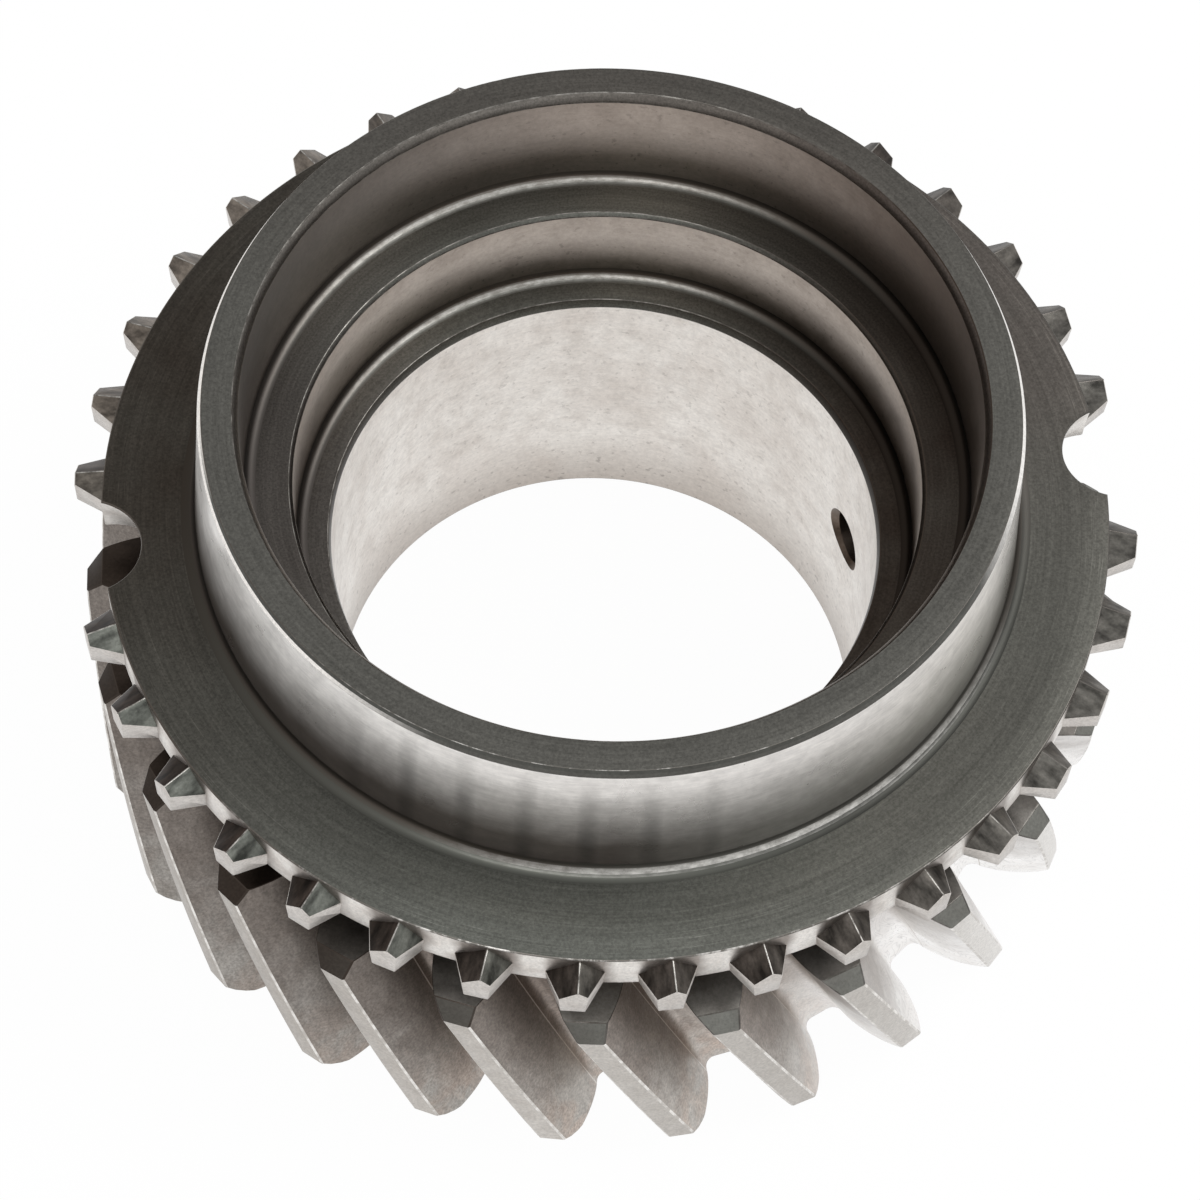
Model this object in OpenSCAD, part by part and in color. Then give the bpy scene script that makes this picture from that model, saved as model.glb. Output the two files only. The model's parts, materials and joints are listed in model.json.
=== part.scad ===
/* [Helical teeth] */
// Number of helical teeth around the rim
helical_teeth = 25; // [23:1:26]
// Module of the helical teeth, measured square to a tooth
normal_module = 3; // [2.8:0.05:3.2]
// Helix angle of the teeth, left hand
helix_angle = 20; // [10:1:28]
// Pressure angle, measured square to a tooth
pressure_angle = 20; // [17.5:0.5:22.5]
// Thickness taken off each tooth at the pitch circle so that the mesh runs free
backlash = 0.2; // [0:0.05:0.4]
// Fillet at the foot of each tooth flank
root_fillet = 1; // [0.5:0.1:1.1]
// Direction in which a tooth centre lies at the back end of the rim
tooth_azimuth = 9.6; // [0:0.1:14.4]
// Width of the toothed rim
rim_w = 23.3; // [16:0.1:30]
// Chamfer over the tooth tips at the clutch end of the rim
tip_chamfer = 1.3; // [0.4:0.1:1.8]
// Chamfer over the tooth tips at the back end of the rim
back_chamfer = 1.2; // [0.4:0.1:1.8]

/* [Back boss and groove] */
// Diameter of the thrust boss on the back face
boss_d = 61; // [56:1:66]
// Height of the thrust boss
boss_h = 2.1; // [1:0.1:6]
// Edge break around the thrust boss
boss_edge = 0.5; // [0.2:0.1:0.8]
// Width of the run-out groove between the helical rim and the clutch ring
groove_w = 6.1; // [3:0.1:9]
// Depth of the groove floor below the roots of the helical teeth
groove_relief = 0.35; // [0.1:0.05:1.5]

/* [Clutch ring] */
// Diameter of the clutch ring at the roots of its dog teeth
ring_d = 81.7; // [80:0.1:84]
// Thickness of the clutch ring
ring_t = 4.2; // [3.5:0.1:7]
// Places for dog teeth around the ring, the two at the notches included
dog_places = 36; // [30:2:42]
// Diameter over the tips of the dog teeth
dog_tip_d = 86.6; // [85:0.1:90]
// Width of the long side of a dog tooth from its ridge, at the root
dog_long_root = 2.6; // [2:0.05:3]
// Width of the short side of a dog tooth from its ridge, at the root
dog_short_root = 2; // [1.5:0.05:2.6]
// Width of the long side of a dog tooth from its ridge, at the tip
dog_long_tip = 1.45; // [0.8:0.05:2]
// Width of the short side of a dog tooth from its ridge, at the tip
dog_short_tip = 0.8; // [0.4:0.05:1.6]
// Drop of the ridge of a dog tooth below the ring face, at its root
ridge_drop = 0.4; // [0.2:0.05:1]
// Fall of the ridge of a dog tooth toward its tip
ridge_fall = 13; // [5:1:20]
// Slope of the two roof faces of a dog tooth
roof_slope = 40; // [30:1:48]

/* [Notches] */
// Diameter of the two round notches in the edge of the clutch ring
notch_d = 8.5; // [5:0.1:10]
// Distance of the notch centres from the gear axis, at the ring face
notch_pitch_r = 42.5; // [41:0.1:43]
// Direction of the first notch, the second lies opposite
notch_azimuth = 10; // [0:10:50]
// Lean of the notch cut toward the gear axis as it goes down
notch_lean = 26; // [0:1:30]

/* [Friction cone collar] */
// Height of the collar above the clutch ring
collar_h = 14.8; // [13:0.1:22]
// Diameter of the friction cone at its small end
cone_d = 64.64; // [63:0.1:68]
// Half angle of the friction cone
cone_angle = 4; // [2:0.5:7]
// Fillet at the foot of the cone
cone_fillet = 1.2; // [0.5:0.1:2]
// Width of the chamfer around the small end of the cone
cone_edge_w = 0.32; // [0.1:0.02:0.6]
// Height of the chamfer around the small end of the cone
cone_edge_h = 0.7; // [0.2:0.1:1.2]

/* [Bores] */
// Diameter of the main bearing bore
main_bore_d = 45; // [40:0.5:48]
// Chamfer of the main bore at the back face
main_chamfer = 0.75; // [0.3:0.05:1.5]
// Width of the edge break of the main bore at the lower shoulder
main_edge_w = 0.2; // [0.1:0.05:0.6]
// Height of the edge break of the main bore at the lower shoulder
main_edge_h = 0.9; // [0.2:0.1:1.5]
// Diameter of the step bore above the main bore
step_bore_d = 50.6; // [49.5:0.1:53]
// Depth of the step bore below the collar face
step_bore_depth = 20.2; // [16:0.1:28]
// Edge break of the step bore at the upper shoulder
step_edge = 0.3; // [0.1:0.05:0.6]
// Diameter of the counterbore in the collar
counterbore_d = 58.3; // [56:0.1:60]
// Depth of the counterbore below the collar face
counterbore_depth = 11.3; // [8:0.1:14]
// Width of the chamfer at the mouth of the counterbore
mouth_edge_w = 0.44; // [0.2:0.02:0.8]
// Height of the chamfer at the mouth of the counterbore
mouth_edge_h = 0.8; // [0.2:0.1:1.2]
// Fillet between each bore wall and its shoulder
shoulder_fillet = 0.9; // [0.3:0.1:1.4]

/* [Oil hole] */
// Diameter of the radial oil hole
oil_hole_d = 4.7; // [2:0.1:6]
// Tooth space that the oil hole opens into, counted from the first tooth
oil_hole_space = 1; // [0:1:22]
// Turn of the oil hole away from the middle of its tooth space
oil_hole_turn = -1.2; // [-1.5:0.1:1.5]
// Height of the oil hole above the back end of the rim
oil_hole_h = 14.3; // [6:0.1:17]

/* [Hidden] */
$fn = 180;

// Colour of the bare steel
steel = [0.60, 0.61, 0.59];
// Length by which a cutter runs past what it cuts
run_out = 1;
// Points on each involute flank, past its first one
flank_steps = 4;
// Points on each fillet, past its first one
fillet_steps = 4;
// Layers of the twisted rim
twist_layers = 5;

// Heights of the stacked forms above the back face
rim_z = boss_h;
groove_z = rim_z + rim_w;
ring_z = groove_z + groove_w;
ring_top = ring_z + ring_t;
total_h = ring_top + collar_h;
shoulder_z = total_h - counterbore_depth;
step_z = total_h - step_bore_depth;

// Helical gear geometry in the plane square to the axis
transverse_module = normal_module / cos(helix_angle);
transverse_angle = atan(tan(pressure_angle) / cos(helix_angle));
pitch_r = helical_teeth * transverse_module / 2;
base_r = pitch_r * cos(transverse_angle);
tip_r = pitch_r + normal_module;
root_r = pitch_r - 1.25 * normal_module;
tooth_pitch = 360 / helical_teeth;
// Twist of the teeth for each millimetre of height
twist_rate = tan(helix_angle) / pitch_r * 180 / PI;
// Half of the angle that a tooth fills at the pitch circle and at the base circle
pitch_half = tooth_pitch / 4 - backlash / 2 / pitch_r * 180 / PI;
base_half = pitch_half + involute_angle(transverse_angle);

groove_r = root_r - groove_relief;
ring_r = ring_d / 2;
cone_top_r = cone_d / 2;
cone_foot_r = cone_top_r + (collar_h - cone_edge_h) * tan(cone_angle);
dog_pitch = 360 / dog_places;

// Involute function of a pressure angle, in degrees
function involute_angle(a) = tan(a) * 180 / PI - a;
function polar(r, a) = [r * cos(a), r * sin(a)];
function arc(centre, r, from, to, steps) =
    [for (i = [0 : steps]) centre + polar(r, from + (to - from) * i / steps)];
function mirrored(points) =
    [for (i = [len(points) - 1 : -1 : 0]) [points[i].x, -points[i].y]];
function turned(points, a) =
    [for (p = points) [p.x * cos(a) - p.y * sin(a), p.x * sin(a) + p.y * cos(a)]];

// Where the involute flank of a tooth that lies along the x axis reaches radius r
function flank_point(r) = polar(r, base_half - involute_angle(acos(base_r / r)));

// Fillet that joins the root circle to the foot of the flank
fillet_turn = asin(root_fillet / (root_r + root_fillet));
fillet_centre = polar(root_r + root_fillet, base_half + fillet_turn);
flank_foot_r = max(base_r, (root_r + root_fillet) * cos(fillet_turn));
flank_end_r = tip_r + run_out / 2;
flank_step = (flank_end_r - flank_foot_r) / flank_steps;

// One side of a tooth from its tip down to the root circle, and the whole outline
tooth_side = concat(
    [for (i = [0 : flank_steps]) flank_point(flank_end_r - i * flank_step)],
    arc(fillet_centre, root_fillet, base_half + 270, base_half + fillet_turn + 180, fillet_steps));
tooth_outline = concat(mirrored(tooth_side), tooth_side);
rim_outline = [for (k = [0 : helical_teeth - 1]) each turned(tooth_outline, k * tooth_pitch)];

// Body of revolution: thrust boss, core and friction cone collar
module turned_blank() {
    boss_r = boss_d / 2;
    fillet_r = cone_foot_r - cone_fillet * tan(cone_angle) + cone_fillet / cos(cone_angle);
    rotate_extrude()
        polygon(concat(
            [[0, 0], [boss_r - boss_edge, 0], [boss_r, boss_edge], [boss_r, rim_z + run_out]],
            [[groove_r, rim_z + run_out], [groove_r, ring_top]],
            arc([fillet_r, ring_top + cone_fillet], cone_fillet, 270, 180 + cone_angle, fillet_steps),
            [[cone_top_r, total_h - cone_edge_h], [cone_top_r - cone_edge_w, total_h], [0, total_h]]));
}

// Helical teeth, cut longer than the rim, then faced, turned off at the tips and chamfered
module helical_rim() {
    cut_w = rim_w + 2 * run_out;
    intersection() {
        translate([0, 0, rim_z - run_out])
            rotate([0, 0, tooth_azimuth + twist_rate * run_out])
                linear_extrude(cut_w, twist = twist_rate * cut_w, slices = twist_layers)
                    polygon(rim_outline);
        rotate_extrude()
            polygon([
                [0, rim_z],
                [tip_r - back_chamfer, rim_z],
                [tip_r, rim_z + back_chamfer],
                [tip_r, groove_z - tip_chamfer],
                [tip_r - tip_chamfer, groove_z],
                [0, groove_z]]);
    }
}

// Whether a direction is clear of both notches
function clear_of_notches(a) =
    let (turn = (a - notch_azimuth + 360) % 180)
    min(turn, 180 - turn) > dog_pitch / 2;

// One dog tooth along the x axis: a wedge in plan under a gable that falls outward
module dog_tooth() {
    inner_r = ring_r - run_out;
    outer_r = dog_tip_d / 2 + run_out;
    reach = outer_r - inner_r;
    // The sides are set out at the root and the tip and carried past both
    long_taper = (dog_long_root - dog_long_tip) / (dog_tip_d / 2 - ring_r);
    short_taper = (dog_short_root - dog_short_tip) / (dog_tip_d / 2 - ring_r);
    half_span = 2 * dog_long_root;
    intersection() {
        translate([0, 0, ring_z])
            linear_extrude(ring_t)
                polygon([
                    [inner_r, -dog_long_root - long_taper * run_out],
                    [outer_r, -dog_long_tip + long_taper * run_out],
                    [outer_r, dog_short_tip - short_taper * run_out],
                    [inner_r, dog_short_root + short_taper * run_out]]);
        translate([ring_r, 0, ring_top - ridge_drop])
            rotate([0, ridge_fall, 0])
                translate([-2 * run_out, 0, 0])
                    rotate([90, 0, 90])
                        linear_extrude(2 * reach)
                            polygon([
                                [0, 0],
                                [-half_span, -half_span * tan(roof_slope)],
                                [-half_span, -3 * ring_t],
                                [half_span, -3 * ring_t],
                                [half_span, -half_span * tan(roof_slope)]]);
    }
}

// Notch cutter: its axis leans toward the gear axis below the ring face
module notch_cutter() {
    rotate([0, 0, notch_azimuth])
        translate([notch_pitch_r, 0, ring_top])
            rotate([0, notch_lean, 0])
                cylinder(d = notch_d, h = 4 * ring_t, center = true);
}

// Clutch ring: disc, dog teeth with their tips turned to one diameter, and notches
module clutch_ring() {
    difference() {
        union() {
            translate([0, 0, ring_z])
                cylinder(r = ring_r, h = ring_t);
            intersection() {
                for (k = [0 : dog_places - 1])
                    if (clear_of_notches(k * dog_pitch))
                        rotate([0, 0, k * dog_pitch])
                            dog_tooth();
                translate([0, 0, ring_z])
                    cylinder(d = dog_tip_d, h = ring_t);
            }
        }
        notch_cutter();
        rotate([0, 0, 180])
            notch_cutter();
    }
}

// Cutter for the three coaxial bores, with their edge breaks and fillets
module bores() {
    main_r = main_bore_d / 2;
    step_r = step_bore_d / 2;
    counter_r = counterbore_d / 2;
    step_corner = [step_r - shoulder_fillet, step_z + shoulder_fillet];
    counter_corner = [counter_r - shoulder_fillet, shoulder_z + shoulder_fillet];
    rotate_extrude()
        polygon(concat(
            [[0, -run_out], [main_r + main_chamfer, -run_out], [main_r + main_chamfer, 0]],
            [[main_r, main_chamfer], [main_r, step_z - main_edge_h], [main_r + main_edge_w, step_z]],
            arc(step_corner, shoulder_fillet, 270, 360, fillet_steps),
            [[step_r, shoulder_z - step_edge], [step_r + step_edge, shoulder_z]],
            arc(counter_corner, shoulder_fillet, 270, 360, fillet_steps),
            [[counter_r, total_h - mouth_edge_h], [counter_r + mouth_edge_w, total_h]],
            [[counter_r + mouth_edge_w, total_h + run_out], [0, total_h + run_out]]));
}

// Radial oil hole from a tooth space into the main bore
module oil_hole() {
    azimuth = tooth_azimuth - twist_rate * oil_hole_h
        + (oil_hole_space + 0.5) * tooth_pitch + oil_hole_turn;
    translate([0, 0, rim_z + oil_hole_h])
        rotate([0, 90, azimuth])
            cylinder(d = oil_hole_d, h = tip_r + run_out);
}

module gear() {
    color(steel)
        difference() {
            union() {
                turned_blank();
                helical_rim();
                clutch_ring();
            }
            bores();
            oil_hole();
        }
}

gear();
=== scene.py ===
import json
import math

import bmesh
import bpy
import numpy as np
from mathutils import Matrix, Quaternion, Vector

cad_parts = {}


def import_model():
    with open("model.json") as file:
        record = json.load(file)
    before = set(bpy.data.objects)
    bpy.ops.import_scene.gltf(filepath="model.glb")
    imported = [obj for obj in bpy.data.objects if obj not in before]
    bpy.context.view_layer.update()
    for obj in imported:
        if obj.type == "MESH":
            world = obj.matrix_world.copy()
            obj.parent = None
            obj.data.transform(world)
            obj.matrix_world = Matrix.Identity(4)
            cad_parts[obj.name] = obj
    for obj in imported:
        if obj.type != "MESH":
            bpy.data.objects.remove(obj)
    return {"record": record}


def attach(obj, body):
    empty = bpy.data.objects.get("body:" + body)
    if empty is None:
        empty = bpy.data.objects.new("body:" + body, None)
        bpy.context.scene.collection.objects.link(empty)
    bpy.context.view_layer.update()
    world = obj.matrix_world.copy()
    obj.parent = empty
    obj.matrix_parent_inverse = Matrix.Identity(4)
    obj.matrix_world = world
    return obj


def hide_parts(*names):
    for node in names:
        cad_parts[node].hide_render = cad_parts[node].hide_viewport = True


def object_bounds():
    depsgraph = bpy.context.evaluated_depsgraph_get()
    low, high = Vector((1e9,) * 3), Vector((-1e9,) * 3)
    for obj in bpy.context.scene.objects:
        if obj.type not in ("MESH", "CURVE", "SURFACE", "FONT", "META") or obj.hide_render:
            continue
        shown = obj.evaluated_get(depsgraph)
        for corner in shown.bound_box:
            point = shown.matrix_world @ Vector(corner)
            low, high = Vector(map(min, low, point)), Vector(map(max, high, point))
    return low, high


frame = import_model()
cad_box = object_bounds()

MM = 0.001
MOUNTS = {m["name"]: m for m in frame["record"]["mounts"]}


def mount_size(name, key):
    """A dimension of one of the record's mounts, in millimetres."""
    return MOUNTS[name]["dims"][key]


# Heights above the back face, in millimetres
RIM_TOP = 25.4
BOSS_H = RIM_TOP - mount_size("helical_teeth", "length_mm")
RING_BOTTOM = 31.5
RING_TOP = RING_BOTTOM + mount_size("dog_teeth", "length_mm")
TOTAL_H = (cad_box[1].z - cad_box[0].z) / MM
SHOULDER_Z = TOTAL_H - 11.3
STEP_Z = TOTAL_H - 20.2

# Helical teeth
TEETH = mount_size("helical_teeth", "count")
PITCH_R = mount_size("helical_teeth", "r_mm")
HELIX = math.radians(20)
PRESSURE = math.radians(20)
MODULE = 2 * PITCH_R / TEETH * math.cos(HELIX)
BACKLASH = 0.2
ROOT_FILLET = 1.0
FIRST_TOOTH = math.radians(9.6)
TIP_CHAMFER = 1.3
CHAMFER_MIDDLE = 0.7  # below the rim's top, for one more outline halfway up the chamfer
BACK_ROUND = ((0, 2.0), (0.35, 1.15), (0.75, 0.5), (1.25, 0))  # (height, how far the tips stand in)
TRANSVERSE = math.atan(math.tan(PRESSURE) / math.cos(HELIX))
BASE_R = PITCH_R * math.cos(TRANSVERSE)
TIP_R = PITCH_R + MODULE
ROOT_R = PITCH_R - 1.25 * MODULE
TWIST = math.tan(HELIX) / PITCH_R
TOOTH_PITCH = 2 * math.pi / TEETH

# Body of revolution
BOSS_R = 30.5
BOSS_CHAMFER = 0.5
GROOVE_R = ROOT_R - 0.35
RING_R = 40.85
LIP_H, LIP_IN = 0.7, 0.32  # bevel at the collar's outer edge
CONE_TOP_R = mount_size("sync_cone", "r_mm")
CONE_SLOPE = math.tan(math.radians(4))
CONE_FOOT_R = CONE_TOP_R + (TOTAL_H - RING_TOP - LIP_H) * CONE_SLOPE
CONE_FILLET = 1.2
MAIN_R = mount_size("main_bore", "r_mm")
MAIN_CHAMFER = 0.75
STEP_R = mount_size("step_bore", "r_mm")
COUNTER_R = mount_size("counterbore", "r_mm")
BORE_FILLET = 0.9
LEAD_H, LEAD_OUT = 0.8, 0.4  # bevel at the collar's inner edge
MOUTH_H, MOUTH_OUT = 0.07, 0.49  # edge break above that bevel

# Dog teeth, notches and oil hole
DOG_TIP_R = mount_size("dog_teeth", "r_mm")
DOG_PITCH = math.radians(10)
DOG_ROOF = math.tan(math.radians(40))
DOG_FALL = math.tan(math.radians(13))
DOG_HALVES = ((-1, 2.6, 1.45), (1, 2.0, 0.8))  # (side of the ridge, width at the root, width at the tip)
DOG_TAPER = 0.17
DOG_RIDGE_DOWN = 0.4
DOG_EDGE = 0.07
NOTCH_PLACES = (1, 19)
DOG_PLACES = mount_size("dog_teeth", "count") + len(NOTCH_PLACES)
NOTCH_R = 4.25
NOTCH_PITCH_R = 42.5
NOTCH_LEAN = math.radians(26)
HOLE_R = 2.35
HOLE_FLARE = 0.6
HOLE_BREAK = 0.3
HOLE_Z = BOSS_H + 14.3
HOLE_AZIMUTH = FIRST_TOOTH - TWIST * (HOLE_Z - BOSS_H) + 1.5 * TOOTH_PITCH - math.radians(1.2)

# Edge breaks, the reach of solids past each other, and the division of bodies of revolution
EDGE = 0.12
THIN_EDGE = 0.05
OVERLAP = 1
SEGMENTS = 240
LONGEST = 6.0
SHARP = math.radians(32)

# Marks in the finishes
SCORED_FROM, SCORED_TO = 37.5, 40.5
SMUDGES = 43
SMUDGE_OFFSET = -2.1
BRIGHTEST = 0.98

FINISHES = (
    "turned", "rim", "flange", "shoulder", "lead", "lip", "lip_top", "cone", "recess", "step", "honed",
    "flank", "foot", "root", "land", "end_face", "chamfer", "long_roof", "short_roof", "dog_side",
    "strip", "groove", "edge", "brim", "line", "ridge", "mouth", "fillet", "cone_fillet", "hole",
)
SLOT = {name: i for i, name in enumerate(FINISHES)}


def involute(angle):
    return math.tan(angle) - angle


def polar(radius, angle):
    return np.array([radius * math.cos(angle), radius * math.sin(angle)])


def rotated(x, y, angle):
    """The point (x, y) turned about the gear axis."""
    c, s = math.cos(angle), math.sin(angle)
    return x * c - y * s, x * s + y * c


def mesh_object(name, points, faces, slots):
    """A mesh object from points in millimetres, with one finish index for each face."""
    mesh = bpy.data.meshes.new(name)
    mesh.from_pydata([tuple(MM * float(c) for c in p) for p in points], [], faces)
    mesh.update()
    mesh.polygons.foreach_set("material_index", slots)
    obj = bpy.data.objects.new(name, mesh)
    bpy.context.scene.collection.objects.link(obj)
    return obj


def lofted(name, rings, finish, cap, flipped=False):
    """Closed solid through rings of as many points, with finish(level, i) on its sides and cap on its ends.

    Seen from the last ring, the points run anticlockwise, or clockwise when it is flipped.
    """
    points = [p for ring in rings for p in ring]
    count = len(rings[0])
    faces, slots = [], []
    for level in range(len(rings) - 1):
        near, far = level * count, (level + 1) * count
        for i in range(count):
            a, b = ((i + 1) % count, i) if flipped else (i, (i + 1) % count)
            faces.append((near + a, near + b, far + b, far + a))
            slots.append(SLOT[finish(level, i)])
    first, last = tuple(range(count)), tuple(range(len(points) - count, len(points)))
    faces += [first, last[::-1]] if flipped else [first[::-1], last]
    slots += [SLOT[cap]] * 2
    return mesh_object(name, points, faces, slots)


def rounded_profile(corners):
    """Closed profile of (r, z, fillet, finish) corners, each turned into an arc of its fillet radius.

    The finish named at a corner belongs to the straight stretch that follows it. The arcs are
    named "hollow" or "convex", after the side of the profile that they are on.
    """
    points, finishes = [], []
    count = len(corners)
    for i, (r, z, fillet, finish) in enumerate(corners):
        here = np.array([r, z])
        back = np.array(corners[i - 1][:2]) - here
        ahead = np.array(corners[(i + 1) % count][:2]) - here
        if fillet:
            back, ahead = back / np.linalg.norm(back), ahead / np.linalg.norm(ahead)
            half = math.acos(float(np.clip(back @ ahead, -1, 1))) / 2
            reach = fillet / math.tan(half)
            middle = back + ahead
            centre = here + middle / np.linalg.norm(middle) * fillet / math.sin(half)
            first, last = here + back * reach - centre, here + ahead * reach - centre
            turn = math.pi - 2 * half
            step_degrees = 30 if fillet < 0.4 else 12
            steps = max(2, round(math.degrees(turn) / step_degrees))
            hollow = (-back[0] * ahead[1] + back[1] * ahead[0]) < 0
            for s in range(steps + 1):
                share = s / steps
                blend = math.sin((1 - share) * turn) * first + math.sin(share * turn) * last
                points.append(centre + blend / math.sin(turn))
                finishes.append("hollow" if hollow else "convex")
            finishes[-1] = finish
        else:
            points.append(here)
            finishes.append(finish)
    return points, finishes


def split_long(points, finishes):
    """Adds points to stretches beyond LONGEST, so that revolved quads stay short enough to shade well."""
    out_points, out_finishes = [], []
    for i, (p, finish) in enumerate(zip(points, finishes)):
        q = points[(i + 1) % len(points)]
        steps = max(1, math.ceil(np.linalg.norm(q - p) / LONGEST))
        for s in range(steps):
            out_points.append(p + (q - p) * s / steps)
            out_finishes.append(finish)
    return out_points, out_finishes


def revolve(name, corners, arcs):
    """Solid of revolution about the gear axis from a closed profile that runs anticlockwise in (r, z).

    A profile point on the axis is one vertex, so the quads that touch it become triangles. The
    finishes of hollow and convex arcs come from arcs.
    """
    profile, finishes = split_long(*rounded_profile(corners))
    points, rings = [], []
    for r, z in profile:
        if r < 1e-6:
            rings.append([len(points)] * SEGMENTS)
            points.append((0, 0, z))
            continue
        rings.append(range(len(points), len(points) + SEGMENTS))
        points += [(*polar(r, 2 * math.pi * s / SEGMENTS), z) for s in range(SEGMENTS)]
    faces, slots = [], []
    for i, finish in enumerate(finishes):
        a, b = rings[i], rings[(i + 1) % len(rings)]
        if a[0] == a[1] and b[0] == b[1]:
            continue
        for s in range(SEGMENTS):
            t = (s + 1) % SEGMENTS
            faces.append(list(dict.fromkeys((a[s], a[t], b[t], b[s]))))
        slots += [SLOT[arcs.get(finish, finish)]] * SEGMENTS
    return mesh_object(name, points, faces, slots)


def combine(target, tool, how):
    """Joins tool to target, or cuts it out, and deletes its mesh."""
    boolean = target.modifiers.new("combine", "BOOLEAN")
    boolean.operation, boolean.object, boolean.solver = how, tool, "MANIFOLD"
    graph = bpy.context.evaluated_depsgraph_get()
    mesh = bpy.data.meshes.new_from_object(target.evaluated_get(graph))
    target.modifiers.clear()
    old, target.data = target.data, mesh
    bpy.data.meshes.remove(old)
    bpy.data.meshes.remove(tool.data)


def clutch_and_collar():
    """Clutch ring disc with the friction cone collar, solid inside."""
    return revolve("upper_body", [
        (0, RING_BOTTOM, 0, "groove"),
        (RING_R, RING_BOTTOM, 0.2, "strip"),
        (RING_R, RING_TOP, EDGE, "flange"),
        (CONE_FOOT_R, RING_TOP, CONE_FILLET, "cone"),
        (CONE_TOP_R, TOTAL_H - LIP_H, 0.04, "lip"),
        (CONE_TOP_R - LIP_IN / 2, TOTAL_H - LIP_H / 2, 0, "lip_top"),
        (CONE_TOP_R - LIP_IN, TOTAL_H, 0.06, "rim"),
        (0, TOTAL_H, 0, "rim"),
    ], {"hollow": "cone_fillet", "convex": "brim"})


def core():
    """Core under the rim, groove floor and thrust boss."""
    return revolve("gear", [
        (0, 0, 0, "turned"),
        (BOSS_R - BOSS_CHAMFER, 0, EDGE, "turned"),
        (BOSS_R, BOSS_CHAMFER, EDGE, "groove"),
        (BOSS_R, BOSS_H + OVERLAP, 0, "groove"),
        (GROOVE_R, BOSS_H + OVERLAP, 0, "groove"),
        (GROOVE_R, RING_BOTTOM + OVERLAP, 0, "groove"),
        (0, RING_BOTTOM + OVERLAP, 0, "groove"),
    ], {"hollow": "fillet", "convex": "edge"})


def bores():
    """Cutter for the stepped bore. Its rounded corners leave the fillets and edge breaks."""
    run_out = 2
    step_down, step_out = 0.9, 0.2
    shoulder_break = 0.3
    return revolve("bores", [
        (0, -run_out, 0, "turned"),
        (MAIN_R + MAIN_CHAMFER + EDGE, -run_out, 0, "turned"),
        (MAIN_R + MAIN_CHAMFER + EDGE, -EDGE, 0, "honed"),
        (MAIN_R, MAIN_CHAMFER, EDGE, "honed"),
        (MAIN_R, STEP_Z - step_down, 0.3, "shoulder"),
        (MAIN_R + step_out, STEP_Z, 0.1, "shoulder"),
        (STEP_R, STEP_Z, BORE_FILLET, "step"),
        (STEP_R, SHOULDER_Z - shoulder_break, 0.15, "shoulder"),
        (STEP_R + shoulder_break, SHOULDER_Z, 0.1, "shoulder"),
        (COUNTER_R, SHOULDER_Z, BORE_FILLET, "recess"),
        (COUNTER_R, TOTAL_H - LEAD_H, 0.2, "lead"),
        (COUNTER_R + LEAD_OUT, TOTAL_H - MOUTH_H, 0, "mouth"),
        (COUNTER_R + MOUTH_OUT, TOTAL_H, 0, "turned"),
        (COUNTER_R + run_out, TOTAL_H + run_out, 0, "turned"),
        (0, TOTAL_H + run_out, 0, "turned"),
    ], {"hollow": "mouth", "convex": "fillet"})


BASE_HALF = TOOTH_PITCH / 4 - BACKLASH / 2 / PITCH_R + involute(TRANSVERSE)
FILLET_TURN = math.asin(ROOT_FILLET / (ROOT_R + ROOT_FILLET))
FILLET_STEPS = 6
FLANK_STEPS = 9
RIM_STEPS = 14
ARC_SHARE = 0.28  # where the middle of a quarter arc lies, as a share of its radius from both sides


def tooth_side(cap_r):
    """One side of a helical tooth from the middle of its space to its own middle, cut off at cap_r."""
    side = [(polar(ROOT_R, -TOOTH_PITCH / 2), "root")]
    centre = polar(ROOT_R + ROOT_FILLET, -BASE_HALF - FILLET_TURN)
    start, end = math.pi - BASE_HALF - FILLET_TURN, math.pi / 2 - BASE_HALF
    for share in np.linspace(0, 1, FILLET_STEPS + 1):
        side.append((centre + polar(ROOT_FILLET, start + (end - start) * share), "root"))
    foot_r = BASE_R + 0.05  # just clear of the base circle
    start_r = foot_r + EDGE
    radii = [foot_r, *(start_r + (cap_r - EDGE - start_r) * np.linspace(0, 1, FLANK_STEPS + 1))]
    names = ["foot"] + ["flank"] * FLANK_STEPS + ["edge"]
    for r, finish in zip(radii, names):
        side.append((polar(r, -BASE_HALF + involute(math.acos(BASE_R / r))), finish))
    tip_half = BASE_HALF - involute(math.acos(BASE_R / cap_r))
    side.append((polar(cap_r - ARC_SHARE * EDGE, -tip_half + ARC_SHARE * EDGE / cap_r), "edge"))
    side.append((polar(cap_r, -tip_half + EDGE / cap_r), "land"))
    return side


def rim_outline(cap_r):
    """Outline of the toothed rim at one height before its twist, with the finish after each point."""
    side = tooth_side(cap_r)
    points = [p for p, _ in side] + [np.array([p[0], -p[1]]) for p, _ in reversed(side[1:])]
    names = [n for _, n in side]
    names += [names[-2 - i] for i in range(len(side) - 1)]
    ring = [rotated(*p, tooth * TOOTH_PITCH) for tooth in range(TEETH) for p in points]
    return np.array(ring), names * TEETH


def inset(ring, depth):
    """The outline moved inward by depth, square to itself."""
    along = np.roll(ring, -1, axis=0) - np.roll(ring, 1, axis=0)
    along /= np.linalg.norm(along, axis=1)[:, None]
    return ring + depth * np.stack([-along[:, 1], along[:, 0]], axis=1)


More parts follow.
